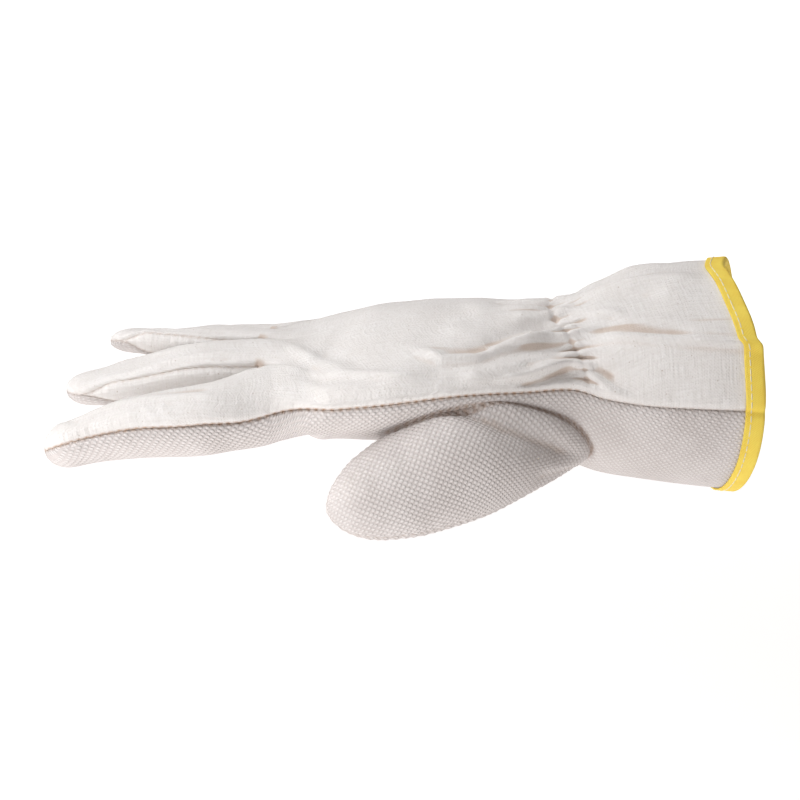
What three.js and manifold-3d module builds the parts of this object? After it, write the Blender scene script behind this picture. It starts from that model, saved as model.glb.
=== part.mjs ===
// A right-hand canvas work glove in the shape that it has when worn.
// The back is plain canvas, gathered at the wrist. The palm and the thumb are bead-weave cloth.
// Three canvas strips join back and palm between the fingers, and a tape binds the hem of the flared cuff.
// Millimetres. The origin is the centre of the wrist. +X runs along the forearm and out of the cuff,
// +Z comes out of the back of the hand, and the thumb is on the -Y side.
import * as THREE from "three";
import Module from "manifold-3d";

const wasm = await Module();
wasm.setup();

// Cloth thickness, and the small gap that sewn pieces keep
const CANVAS = 1.4;
const BEAD_CLOTH = 2.2;
const TAPE = 1;
const GAP = 0.3;
const SEAM_INSET = 0.3;
const CORNER_LIMIT = 0.7;

// How finely the cloth is cut into facets
const BODY_ROWS = 20;
const FINGER_ROWS = 9;
const BACK_COLUMNS = 8;
const PALM_COLUMNS = 6;
const STRIP_COLUMNS = 2;
const THUMB_ROWS = 14;
const THUMB_COLUMNS = 20;

// Cross-sections of the hand and the cuff, from the finger forks to the hem
const HAND = [
  { x: -124, y: 1, z: 1, half: 48, back: 11, palm: 18.5 },
  { x: -100, y: 1, z: 2, half: 50, back: 13.3, palm: 21 },
  { x: -75, y: 0, z: 4.4, half: 50, back: 18.3, palm: 25.5 },
  { x: -45, y: 0, z: 6.8, half: 46, back: 19.2, palm: 28 },
  { x: -20, y: 0, z: 5.6, half: 38.5, back: 21.8, palm: 32 },
  { x: -3, y: 0, z: 5, half: 34, back: 26, palm: 38.5 },
  { x: 9, y: 0, z: 1.5, half: 34.5, back: 34, palm: 39.5 },
  { x: 25, y: 0, z: 0, half: 38, back: 39.5, palm: 40.5 },
  { x: 45, y: 0, z: 0, half: 41.5, back: 42, palm: 43 },
  { x: 68, y: 0, z: 0, half: 44, back: 43.8, palm: 45 },
];

// Where the hem lies: it reaches further at the side seams, because the flared panels are cut straight
const HEM = { back: 52, palm: 59.5, seam: 66, backSharpness: 1.1, palmSharpness: 1.7 };

// The line that the fingers leave the hand at: near side seam, three forks at the back, far side seam
const ROOTS = [
  { x: -117, y: -47, z: -1 },
  { x: -121, y: -22, z: 10 },
  { x: -121.5, y: 3, z: 12.5 },
  { x: -119, y: 27, z: 8.5 },
  { x: -110, y: 47.5, z: -2 },
];
const ROOT_REACH = 26;
const ROOT_LOOK = 0.05;
const STRIP_HALF = 4.2;
const FORK_HALF = 1.3;
const FORK_SHARE = 0.05;
const STRIP_TAPER = 0.7;
const STRIP_END = 0.905;
const STRIP_BULGE = 0.1;
const FORK_STEP = 0.025;
const TIP_CROWDING = 1.6;

// Cross-sections of each finger towards its tip. roll turns the near side up, in degrees.
const FINGERS = [
  {
    rootBack: 8, rootPalm: 18.5,
    sections: [
      { x: -142, y: -40.5, z: -3, half: 14, back: 11.5, palm: 14.5, roll: 6 },
      { x: -166, y: -43, z: -6.2, half: 13.6, back: 11.2, palm: 11.6, roll: 16 },
      { x: -184, y: -44.5, z: -10.4, half: 12.6, back: 9, palm: 9.2, roll: 20 },
    ],
    tip: { x: -198.5, y: -45.5, z: -14.6 },
  },
  {
    rootBack: 8, rootPalm: 13,
    sections: [
      { x: -146, y: -9.6, z: 5.7, half: 12.6, back: 8, palm: 11.5, roll: 0 },
      { x: -168, y: -8.5, z: 1, half: 13, back: 6.4, palm: 8.6, roll: 0 },
      { x: -182, y: -8.2, z: -1.6, half: 12.2, back: 5.4, palm: 7, roll: 2 },
    ],
    tip: { x: -195, y: -8, z: -3 },
  },
  {
    rootBack: 7, rootPalm: 12,
    sections: [
      { x: -142, y: 17.6, z: 6.4, half: 12.2, back: 6.6, palm: 10.5, roll: 10 },
      { x: -158, y: 19, z: 6.6, half: 12.4, back: 5.4, palm: 6.4, roll: 15 },
      { x: -169, y: 20, z: 6.9, half: 11.8, back: 4.9, palm: 5, roll: 17 },
    ],
    tip: { x: -181, y: 21, z: 6.9 },
  },
  {
    rootBack: 7.4, rootPalm: 11,
    sections: [
      { x: -128, y: 42.2, z: -1, half: 11.9, back: 6.6, palm: 10, roll: 0 },
      { x: -142, y: 45.5, z: -2.2, half: 12.2, back: 5.8, palm: 8.5, roll: -4 },
      { x: -151, y: 48, z: -3.2, half: 11.4, back: 5.2, palm: 6.8, roll: -6 },
    ],
    tip: { x: -160, y: 50.5, z: -4.4 },
  },
];
const TIP_SQUARENESS = 2.3;
const ROOT_SETTLE = 0.3;
const UP = new THREE.Vector3(0, 0, 1);

// Cross-sections of the thumb, from inside the wrist to its tip: tall is up and down, thick is near and far
const THUMB = [
  { at: 0, x: 6, y: -15, z: -19, tall: 7, thick: 8 },
  { at: 0.16, x: -10, y: -26, z: -17, tall: 15, thick: 12 },
  { at: 0.4, x: -37, y: -41, z: -17.2, tall: 22.3, thick: 15 },
  { at: 0.68, x: -64, y: -50, z: -25.5, tall: 20.3, thick: 13 },
  { at: 0.88, x: -82, y: -53.5, z: -31.5, tall: 15.4, thick: 10.5 },
  { at: 1, x: -94.5, y: -55, z: -35, tall: 12, thick: 8 },
];
const THUMB_UP = new THREE.Vector3(0, 0.3, 0.95);
const THUMB_ROUND = 0.17;
const THUMB_SQUARENESS = 2.2;
const THUMB_TIP_LEFT = 0.12;
const THUMB_CROWDING = 1.2;
const THUMB_LOOK = 0.02;
const THUMB_TIP_WALL = 0.9;
const THUMB_SEAM_TURN = 15;
const THUMB_REACH = 8;
const HALF_TURN_STEPS = 8;

// Folds of the back: each runs from one place to another, given by x and by the share of the way across
const FOLDS = [
  { name: "knuckle crease", x0: -112, s0: 0.42, x1: -84, s1: 0.2, width: 4, height: 1.6 },
  { name: "index ridge", x0: -104, s0: 0.15, x1: -52, s1: 0.16, width: 6, height: 1.5 },
  { name: "long ridge", x0: -62, s0: 0.24, x1: -8, s1: 0.3, width: 5, height: 2 },
  { name: "palm-side ridge", x0: -48, s0: 0.1, x1: -4, s1: 0.15, width: 6, height: 1.8 },
  { name: "top ridge", x0: -44, s0: 0.48, x1: -10, s1: 0.52, width: 7, height: 1.4 },
  { name: "cuff fold", x0: 6, s0: 0.25, x1: 74, s1: 0.18, width: 7, height: 2.4 },
  { name: "cuff valley", x0: 4, s0: 0.32, x1: 70, s1: 0.3, width: 9, height: -1.8 },
  { name: "far cuff fold", x0: 8, s0: 0.62, x1: 74, s1: 0.68, width: 9, height: 2 },
];
const ACROSS = 112;
const FOLD_FADE = 0.22;
const SEAM_FADE = 0.3;

// Gathers that the wrist elastic pulls the canvas into
const GATHERS = { count: 7, height: 1.4, reach: 15, near: 1, far: -8, waist: 2.2 };

// The tape folded round the hem
const TAPE_REACH = 6.4;

const clamp01 = (t) => Math.min(1, Math.max(0, t));
const smooth = (t) => THREE.MathUtils.smoothstep(t, 0, 1);
const mix = (a, b, t) => a + (b - a) * t;
const vector = (p) => new THREE.Vector3(p.x, p.y, p.z);
const steps = (count) => Array.from({ length: count + 1 }, (_, i) => i / count);

// Every column of a table, read smoothly at a value of its key column
function read(rows, key, at) {
  let i = 0;
  while (i < rows.length - 2 && rows[i + 1][key] < at) i++;
  const [a, b] = [rows[i], rows[i + 1]];
  const span = b[key] - a[key];
  const t = clamp01((at - a[key]) / span);
  const slope = (j, column) => {
    const [low, high] = [rows[Math.max(j - 1, 0)], rows[Math.min(j + 1, rows.length - 1)]];
    return ((high[column] - low[column]) / (high[key] - low[key])) * span;
  };
  const out = {};
  for (const column of Object.keys(a).filter((name) => typeof a[name] === "number")) {
    const [m, n] = [slope(i, column), slope(i + 1, column)];
    out[column] =
      (2 * t ** 3 - 3 * t ** 2 + 1) * a[column] + (t ** 3 - 2 * t ** 2 + t) * m +
      (3 * t ** 2 - 2 * t ** 3) * b[column] + (t ** 3 - t ** 2) * n;
  }
  return out;
}

// How far the folds and gathers lift the back at x, a share s of the way across
function lift(x, s) {
  let sum = 0;
  for (const fold of FOLDS) {
    const run = new THREE.Vector2(fold.x1 - fold.x0, (fold.s1 - fold.s0) * ACROSS);
    const here = new THREE.Vector2(x - fold.x0, (s - fold.s0) * ACROSS);
    const share = here.dot(run) / run.lengthSq();
    const off = here.cross(run) / run.length();
    const ends = smooth(share / FOLD_FADE) * smooth((1 - share) / FOLD_FADE);
    sum += fold.height * ends * Math.exp(-((off / fold.width) ** 2));
  }
  const line = mix(GATHERS.near, GATHERS.far, Math.sin(Math.PI * s));
  const pull = Math.exp(-(((x - line) / GATHERS.reach) ** 2));
  const wave = Math.cos(2 * Math.PI * GATHERS.count * s) * GATHERS.height;
  return (sum + (wave - GATHERS.waist * pull) * pull) * smooth(Math.sin(Math.PI * s) / SEAM_FADE);
}

// A strip's half height along its finger, from the fork to its pointed end
const stripHalf = (t) => STRIP_HALF * (1 - smooth((t - STRIP_TAPER) / (STRIP_END - STRIP_TAPER)));

// The corner of a finger's root: at a fork it stands off the fork's middle, at the foot of half a strip
function rootCorner(i, towards) {
  const root = vector(ROOTS[i]);
  const isFork = i > 0 && i < ROOTS.length - 1;
  return isFork ? root.add(new THREE.Vector3(0, towards * FORK_HALF, -STRIP_HALF)) : root;
}

// The finger's cross-section a share t of the way to its tip. Its two sides stand as high as the strips.
function fingerSection(index, t) {
  const finger = FINGERS[index];
  const near = rootCorner(index, 1);
  const across = rootCorner(index + 1, -1).sub(near).multiplyScalar(0.5);
  const root = near.clone().add(across);
  const tip = vector(finger.tip);
  const blunt = finger.sections.at(-1);
  const rows = [
    { ...root, half: across.length(), back: finger.rootBack, palm: finger.rootPalm, roll: 0 },
    ...finger.sections,
    { ...blunt, ...tip },
  ].map((row) => ({ ...row, at: (root.x - row.x) / (root.x - tip.x) }));
  const here = read(rows, "at", t);

  const along = tip.clone().sub(root).normalize();
  const level = new THREE.Vector3(0, 1, 0).addScaledVector(along, -along.y).normalize();
  const raised = new THREE.Vector3().crossVectors(level, along);
  const roll = THREE.MathUtils.degToRad(here.roll);
  const turned = level.multiplyScalar(Math.cos(roll)).addScaledVector(raised, -Math.sin(roll));
  const settle = smooth(t / ROOT_SETTLE);
  const lateral = across.clone().normalize().lerp(turned, settle).normalize();
  const normal = new THREE.Vector3().crossVectors(lateral, along).normalize();
  normal.lerpVectors(UP, normal, settle).normalize();

  const rounded = blunt.half / (root.x - tip.x);
  const round = Math.sqrt(1 - clamp01((t - 1 + rounded) / rounded) ** TIP_SQUARENESS);
  return {
    centre: vector(here),
    lateral,
    normal,
    half: here.half * round,
    back: here.back * round,
    palm: here.palm * round,
    strips: [index > 0, index < FINGERS.length - 1].map((hasStrip) => (hasStrip ? stripHalf(t) * round : 0)),
  };
}

// A point on the back (side 1) or palm (side -1) of a finger, a share s of the way across it
function fingerPoint(index, t, s, side) {
  const here = fingerSection(index, t);
  const strip = mix(here.strips[0], here.strips[1], s);
  const rise = mix(strip, side > 0 ? here.back : here.palm, Math.sin(Math.PI * s));
  return here.centre
    .clone()
    .addScaledVector(here.lateral, -here.half * Math.cos(Math.PI * s))
    .addScaledVector(here.normal, side * rise);
}

// The x at which the hand ends and the fingers start
function rootX(s) {
  const rows = ROOTS.map((root, i) => ({ at: i / (ROOTS.length - 1), x: root.x }));
  return read(rows, "at", s).x;
}

function hemX(s, side) {
  const [middle, sharpness] = side > 0 ? [HEM.back, HEM.backSharpness] : [HEM.palm, HEM.palmSharpness];
  return mix(middle, HEM.seam, Math.abs(Math.cos(Math.PI * s)) ** sharpness);
}

// A point on the hand or the cuff, in line with a finger and a share of the way across that finger.
// r runs from the hem to the fingers. Between two fingers a narrow band runs on to the fork.
// Near the fingers, the hand takes up the slope that each finger starts with.
function handPoint(r, index, share, side) {
  const [low, high] = [index > 0 ? FORK_SHARE : 0, index < FINGERS.length - 1 ? 1 - FORK_SHARE : 1];
  const s = (index + mix(low, high, share)) / FINGERS.length;
  const end = rootX(s);
  const x = mix(hemX(s, side), end, r);
  const section = read(HAND, "x", x);
  const theta = Math.PI * s;
  const rise = side > 0 ? section.back : section.palm;
  const point = new THREE.Vector3(
    x,
    section.y - section.half * Math.cos(theta),
    section.z + side * rise * Math.sin(theta),
  );
  if (side > 0) {
    const out = new THREE.Vector3(0, -rise * Math.cos(theta), section.half * Math.sin(theta));
    point.addScaledVector(out.normalize(), lift(x, s));
  }
  const target = fingerPoint(index, 0, share, side);
  const slope = fingerPoint(index, ROOT_LOOK, share, side).sub(target);
  target.addScaledVector(slope, (x - end) / slope.x);
  return point.lerp(target, smooth(1 - (x - end) / ROOT_REACH));
}

// Rows of a finger: close together at the fork, and again at the tip
const fingerSteps = [0, FORK_STEP, ...steps(FINGER_ROWS).slice(1).map((t) => 1 - (1 - t) ** TIP_CROWDING)];

// The palm's columns run the other way, so that every patch of the glove faces out
function panelPatches(side) {
  const count = side > 0 ? BACK_COLUMNS : PALM_COLUMNS;
  const facing = (list) => (side > 0 ? list : list.slice().reverse());
  const fine = facing(steps(count));
  const columns = facing(FINGERS.flatMap((_, index) => steps(count).map((share) => [index, share])));
  const hand = steps(BODY_ROWS).map((r) => columns.map(([i, share]) => handPoint(r, i, share, side)));
  const fingers = FINGERS.map((_, i) => fingerSteps.map((t) => fine.map((s) => fingerPoint(i, t, s, side))));
  return [hand, ...fingers];
}

// The strip at a fork comes down the side of one finger, turns at the fork, and goes up the next finger
function stripPatch(fork) {
  const rows = fingerSteps.filter((t, i) => i === 0 || fingerSteps[i - 1] < STRIP_END);
  const path = [
    ...rows.slice().reverse().map((t) => [fork - 1, t, 1]),
    ...rows.map((t) => [fork, t, 0]),
  ];
  return path.map(([index, t, s]) => {
    const [bottom, top] = [-1, 1].map((side) => fingerPoint(index, t, s, side));
    const { lateral } = fingerSection(index, t);
    const bulge = STRIP_BULGE * top.distanceTo(bottom) * smooth(t / ROOT_SETTLE) * (s > 0 ? 1 : -1);
    return steps(STRIP_COLUMNS).map((q) =>
      bottom.clone().lerp(top, q).addScaledVector(lateral, bulge * Math.sin(Math.PI * q)),
    );
  });
}

// Patches sewn into one surface that faces out: points that meet become one
const keyOf = (point) => point.toArray().map((v) => Math.round(v * 1000)).join(" ");

function weld(patches) {
  const found = new Map();
  const points = [];
  const indexOf = (point) => {
    const key = keyOf(point);
    if (!found.has(key)) {
      found.set(key, points.length);
      points.push(point);
    }
    return found.get(key);
  };
  const faces = [];
  const add = (...corners) => {
    if (new Set(corners).size === 3) faces.push(corners);
  };
  for (const grid of patches) {
    const index = grid.map((row) => row.map(indexOf));
    for (let i = 0; i + 1 < index.length; i++) {
      for (let j = 0; j + 1 < index[i].length; j++) {
        add(index[i][j], index[i + 1][j + 1], index[i + 1][j]);
        add(index[i][j], index[i][j + 1], index[i + 1][j + 1]);
      }
    }
  }
  const edges = new Set(faces.flatMap(([a, b, c]) => [a + " " + b, b + " " + c, c + " " + a]));
  const pairs = [...edges].map((edge) => edge.split(" ").map(Number));
  return { points, faces, open: pairs.filter(([a, b]) => !edges.has(b + " " + a)) };
}

// The inner face of the cloth: each point of the outer face moved in by the cloth's thickness.
// At a seam it moves along the middle of the two pieces' normals, and further where they meet at a corner.
function innerFace(pieces) {
  const met = new Map();
  for (const { patches, wall } of pieces) {
    const { points, faces } = weld(patches);
    const normals = points.map(() => new THREE.Vector3());
    for (const corners of faces) {
      const [a, b, c] = corners.map((i) => points[i]);
      const facing = b.clone().sub(a).cross(c.clone().sub(a));
      corners.forEach((i) => normals[i].add(facing));
    }
    points.forEach((point, i) => {
      const key = keyOf(point);
      met.set(key, [...(met.get(key) ?? []), { point, wall, normal: normals[i].normalize() }]);
    });
  }
  const inner = new Map();
  for (const [key, cloths] of met) {
    const normal = cloths.reduce((sum, { normal }) => sum.add(normal), new THREE.Vector3()).normalize();
    const wall = cloths.reduce((sum, cloth) => sum + cloth.wall, 0) / cloths.length;
    const corner = Math.max(CORNER_LIMIT, normal.dot(cloths[0].normal));
    inner.set(key, cloths[0].point.clone().addScaledVector(normal, -wall / corner));
  }
  return inner;
}

// One closed solid of cloth: outer face, inner face, and walls round the open edges, which stop short
// of the seam line. Walls are split from their end at the wrist, so two pieces split
// the seam between them alike.
function clothSolid(patches, inner) {
  const { points, faces, open } = weld(patches);
  const inside = points.length;
  const under = points.map((point) => inner.get(keyOf(point)));
  const inset = points.map(() => new THREE.Vector3());
  for (const [a, b] of open) {
    const out = points[a].clone().sub(under[a]);
    const inward = out.cross(points[b].clone().sub(points[a])).normalize();
    inset[a].add(inward);
    inset[b].add(inward);
  }
  const wall = ([a, b]) =>
    points[a].x < points[b].x
      ? [[b, a, a + inside], [b, a + inside, b + inside]]
      : [[b, a, b + inside], [a, a + inside, b + inside]];
  const triangles = [
    ...faces,
    ...faces.map(([a, b, c]) => [a + inside, c + inside, b + inside]),
    ...open.flatMap(wall),
  ];
  const drawnIn = (face) => face.map((point, i) => point.clone().add(inset[i].setLength(SEAM_INSET)));
  const both = [...drawnIn(points), ...drawnIn(under)];
  return solid(both, triangles);
}

// A manifold solid from points and triangles, turned the right way out
function solid(points, triangles) {
  let volume = 0;
  for (const [a, b, c] of triangles) {
    volume += points[a].dot(new THREE.Vector3().crossVectors(points[b], points[c]));
  }
  const faces = volume < 0 ? triangles.map(([a, b, c]) => [a, c, b]) : triangles;
  return new wasm.Manifold(
    new wasm.Mesh({
      numProp: 3,
      vertProperties: new Float32Array(points.flatMap((p) => p.toArray())),
      triVerts: new Uint32Array(faces.flat()),
    }),
  );
}

// The solid inside a closed grid of rings, capped at both ends
function ringSolid(rings) {
  const count = rings[0].length;
  const points = rings.flat();
  const triangles = [];
  for (let i = 0; i + 1 < rings.length; i++) {
    for (let j = 0; j < count; j++) {
      const k = (j + 1) % count;
      triangles.push([i * count + j, (i + 1) * count + j, (i + 1) * count + k]);
      triangles.push([i * count + j, (i + 1) * count + k, i * count + k]);
    }
  }
  for (const [ring, first] of [[rings[0], 0], [rings.at(-1), (rings.length - 1) * count]]) {
    const centre = ring.reduce((sum, p) => sum.add(p), new THREE.Vector3()).divideScalar(count);
    points.push(centre);
    for (let j = 0; j < count; j++) {
      const [a, b] = [first + j, first + ((j + 1) % count)];
      triangles.push(first === 0 ? [points.length - 1, a, b] : [points.length - 1, b, a]);
    }
  }
  return solid(points, triangles);
}

// A ring of the thumb's tube at one place on its length, made larger all round by grow
function thumbRing(at, angles, grow, ahead) {
  const centreAt = (place) => vector(read(THUMB, "at", clamp01(place)));
  const here = read(THUMB, "at", at);
  const along = centreAt(at + THUMB_LOOK).sub(centreAt(at - THUMB_LOOK)).normalize();
  const up = THUMB_UP.clone().addScaledVector(along, -THUMB_UP.dot(along)).normalize();
  const out = new THREE.Vector3().crossVectors(along, up).normalize();
  const closing = clamp01((at - 1 + THUMB_ROUND) / THUMB_ROUND) ** THUMB_SQUARENESS;
  const round = Math.sqrt(1 - (1 - THUMB_TIP_LEFT ** 2) * closing);
  const centre = vector(here).addScaledVector(along, ahead);
  return angles.map((angle) =>
    centre
      .clone()
      .addScaledVector(up, (here.tall * round + grow) * Math.cos(angle))
      .addScaledVector(out, (here.thick * round + grow) * Math.sin(angle)),
  );
}

const thumbSteps = steps(THUMB_ROWS).map((t) => 1 - (1 - t) ** THUMB_CROWDING);
const fullTurn = steps(THUMB_COLUMNS).slice(1).map((t) => 2 * Math.PI * t);

// The thumb's tube. Grown, it reaches past both of its ends by as much; shrunk, only its tip draws in.
function thumbTube(grow) {
  const last = thumbSteps.length - 1;
  return ringSolid(thumbSteps.map((at, i) => {
    const inTip = at > 1 - THUMB_ROUND;
    const ahead = i === 0 ? -Math.abs(grow) * 2 : (i / last > 0.5 ? grow : 0);
    return thumbRing(at, fullTurn, inTip ? Math.max(grow, -THUMB_TIP_WALL) : grow, ahead);
  }));
}

// The side of the thumb that faces the palm, as a solid that is larger than the thumb. Its flat side
// is the surface that the thumb's two seams lie in, moved towards the palm by off.
function palmwardSide(off) {
  const turn = THREE.MathUtils.degToRad(THUMB_SEAM_TURN);
  const angles = steps(HALF_TURN_STEPS).map((t) => turn + Math.PI * t);
  return ringSolid(thumbSteps.map((at, i) => {
    const ahead = { 0: -THUMB_REACH, [thumbSteps.length - 1]: THUMB_REACH }[i] ?? 0;
    const ring = thumbRing(at, angles, THUMB_REACH, ahead);
    const [first, last] = [ring[0], ring.at(-1)];
    const move = ring[HALF_TURN_STEPS / 2].clone().sub(first.clone().lerp(last, 0.5)).normalize();
    return ring.map((p) => (p === first || p === last ? p.clone().addScaledVector(move, off) : p));
  }));
}

// The space inside the glove, without the thumb
function cavity(patches, inner) {
  const { points, faces, open } = weld(patches);
  const mouth = points.length;
  const inside = points.map((point) => inner.get(keyOf(point)));
  inside.push(new THREE.Vector3(HEM.palm, 0, 0));
  return solid(inside, [...faces, ...open.map(([a, b]) => [mouth, b, a])]);
}

// The tape: a U-shaped section carried round the hem, with the cloth's edge held in it
function binding(backHand, palmHand, inner) {
  const edge = (grid) =>
    grid[0].map((outer, j) => ({ outer, away: outer.clone().sub(grid[1][j]).normalize() }));
  const ring = [...edge(backHand), ...edge(palmHand).slice(1, -1)];
  const profile = ({ outer, away }) => {
    const through = outer.clone().sub(inner.get(keyOf(outer)));
    const [low, high] = [-through.length() - GAP, GAP];
    through.normalize();
    const shape = [
      [-TAPE_REACH, high], [-TAPE_REACH, high + TAPE], [GAP, high + TAPE],
      [GAP + TAPE, high], [GAP + TAPE, low],
      [GAP, low - TAPE], [-TAPE_REACH, low - TAPE], [-TAPE_REACH, low], [GAP, low], [GAP, high],
    ];
    return shape.map(([along, out]) =>
      outer.clone().addScaledVector(away, along).addScaledVector(through, out),
    );
  };
  const sections = ring.map(profile);
  const count = sections[0].length;
  const triangles = [];
  sections.forEach((_, i) => {
    const next = (i + 1) % sections.length;
    for (let j = 0; j < count; j++) {
      const k = (j + 1) % count;
      triangles.push([i * count + j, i * count + k, next * count + k]);
      triangles.push([i * count + j, next * count + k, next * count + j]);
    }
  });
  return solid(sections.flat(), triangles);
}

function mesh(name, made, colour, roughness) {
  const { vertProperties, triVerts, numProp } = made.getMesh();
  const positions = new Float32Array((vertProperties.length / numProp) * 3);
  for (let i = 0; i < positions.length / 3; i++) {
    positions.set(vertProperties.subarray(i * numProp, i * numProp + 3), i * 3);
  }
  const geometry = new THREE.BufferGeometry();
  geometry.setAttribute("position", new THREE.BufferAttribute(positions, 3));
  geometry.setIndex(new THREE.BufferAttribute(triVerts, 1));
  geometry.computeVertexNormals();
  const material = new THREE.MeshStandardMaterial({ color: colour, roughness, metalness: 0 });
  const made3d = new THREE.Mesh(geometry, material);
  made3d.name = name;
  return made3d;
}

const CANVAS_COLOUR = 0xece7df;
const BEAD_COLOUR = 0xe4ddd6;
const TAPE_COLOUR = 0xf2d23c;

const back = panelPatches(1);
const palm = panelPatches(-1);
const strips = ["index_middle", "middle_ring", "ring_little"].map((pair, i) => ({
  name: pair + "_side_strip",
  patches: [stripPatch(i + 1)],
  wall: CANVAS,
}));
const inner = innerFace([{ patches: back, wall: CANVAS }, { patches: palm, wall: BEAD_CLOTH }, ...strips]);
const hand = cavity([...back, ...palm, ...strips.flatMap((strip) => strip.patches)], inner);
const thumb = thumbTube(0).subtract(thumbTube(-BEAD_CLOTH)).subtract(hand);
const palmSolid = clothSolid(palm, inner).subtract(thumbTube(GAP));

const glove = new THREE.Group();
glove.add(mesh("back_panel", clothSolid(back, inner), CANVAS_COLOUR, 0.9));
glove.add(mesh("palm_panel", palmSolid, BEAD_COLOUR, 0.95));
for (const { name, patches } of strips) {
  glove.add(mesh(name, clothSolid(patches, inner), CANVAS_COLOUR, 0.9));
}
glove.add(mesh("thumb_outer", thumb.subtract(palmwardSide(-GAP / 2)), BEAD_COLOUR, 0.95));
glove.add(mesh("thumb_inner", thumb.intersect(palmwardSide(GAP / 2)), BEAD_COLOUR, 0.95));
glove.add(mesh("cuff_binding", binding(back[0], palm[0], inner), TAPE_COLOUR, 0.8));

export default glove;
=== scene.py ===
import math

import bpy
import numpy as np
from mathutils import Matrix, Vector


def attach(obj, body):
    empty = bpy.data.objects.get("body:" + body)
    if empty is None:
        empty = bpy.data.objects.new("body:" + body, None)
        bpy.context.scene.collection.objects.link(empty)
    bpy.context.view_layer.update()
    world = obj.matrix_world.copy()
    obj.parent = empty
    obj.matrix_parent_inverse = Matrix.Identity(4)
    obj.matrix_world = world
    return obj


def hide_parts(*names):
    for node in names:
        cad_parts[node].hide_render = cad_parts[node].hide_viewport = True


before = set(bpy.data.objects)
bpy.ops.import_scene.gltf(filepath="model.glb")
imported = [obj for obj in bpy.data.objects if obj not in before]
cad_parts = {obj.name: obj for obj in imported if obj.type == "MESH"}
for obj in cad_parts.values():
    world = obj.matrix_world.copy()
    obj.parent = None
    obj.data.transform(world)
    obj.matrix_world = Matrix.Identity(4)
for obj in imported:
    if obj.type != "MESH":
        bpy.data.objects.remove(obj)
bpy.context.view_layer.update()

# The viewing place
# A long lens looks across the glove from its thumb side, a little from above, with the cuff's axis level.
# The glove's shape is worked out in millimetres, and MM turns it into metres.
MM = 0.001
VIEW_RISE = math.radians(19.5)
VIEW_DISTANCE = 900
VIEW_WIDTH = 308
VIEW_CENTRE_X = -67.4
VIEW_CENTRE_DROP = 10.0
VIEW_END = 20
SENSOR = 36


def set_out(name, data):
    """Puts a camera, a mesh or a lamp into the scene."""
    made = bpy.data.objects.new(name, data)
    bpy.context.collection.objects.link(made)
    return made


view_up = np.array([0, math.sin(VIEW_RISE), math.cos(VIEW_RISE)])
view_back = np.array([0, -math.cos(VIEW_RISE), math.sin(VIEW_RISE)])
view_place = np.array([VIEW_CENTRE_X, 0, 0]) - VIEW_CENTRE_DROP * view_up + VIEW_DISTANCE * view_back
lens = bpy.data.cameras.new("camera")
lens.sensor_width = SENSOR
lens.lens = SENSOR * VIEW_DISTANCE / VIEW_WIDTH
lens.clip_end = VIEW_END
camera = set_out("camera", lens)
camera.location = view_place * MM
camera.rotation_euler = (math.pi / 2 - VIEW_RISE, 0, 0)
bpy.context.scene.camera = camera

# Back panel
# One piece of plain off-white cotton canvas: the back of the glove's body, of its four fingers and of its
# cuff. It is sewn to the palm at the sides, and a line of elastic gathers it at the wrist.
CANVAS_WALL = 1.4
BACK_COLUMNS = 38
BACK_ROWS = 200
FINGER_ROWS = 72


def table(columns, *rows):
    """Rows of numbers as named columns."""
    return dict(zip(columns.split(), np.array(rows, float).T))


def crease(width, height, *path):
    """A crest, or a hollow where its height is below 0, along a path."""
    return {"width": width, "height": height, "path": path}


# Cross-sections of the glove's body and cuff, from the finger forks to the hem
HAND = table(
    "x y z half back palm",
    (-124, 1, 1, 48, 11, 18.5),
    (-100, 1, 2, 50, 13.3, 21),
    (-75, 0, 4.4, 50, 18.3, 25.5),
    (-45, 0, 6.8, 46, 19.2, 28),
    (-20, 0, 5.6, 38.5, 21.8, 32),
    (-3, 0, 5, 34, 26, 38.5),
    (9, 0, 1.5, 34.5, 34, 39.5),
    (25, 0, 0, 38, 39.5, 40.5),
    (45, 0, 0, 41.5, 42, 43),
    (68, 0, 0, 44, 43.8, 45),
)
HEM = {"back": 54.5, "palm": 59.5, "seam": 66, "back_sharpness": 1.25, "palm_sharpness": 1.7}

# Where a fold of the back reaches the hem, the hem steps by twice the depth, at a share s of the way across
HEM_STEP = {"s": 0.186, "width": 0.008, "reach": 0.06, "depth": 0.75}

# The line that the fingers leave the body at: near side seam, three forks at the back, far side seam
ROOTS = table(
    "at x y z",
    (0, -117, -47, -1),
    (0.25, -121, -22, 10),
    (0.5, -121.5, 3, 12.5),
    (0.75, -119, 27, 8.5),
    (1, -110, 47.5, -2),
)
ROOT_REACH = 26
ROOT_LOOK = 0.05
ROOT_FADE = 9
STRIP_HALF = 4.2
STRIP_TAPER = 0.7
STRIP_END = 0.905
FORK_HALF = 1.3
FORK_SHARE = 0.05

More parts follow.
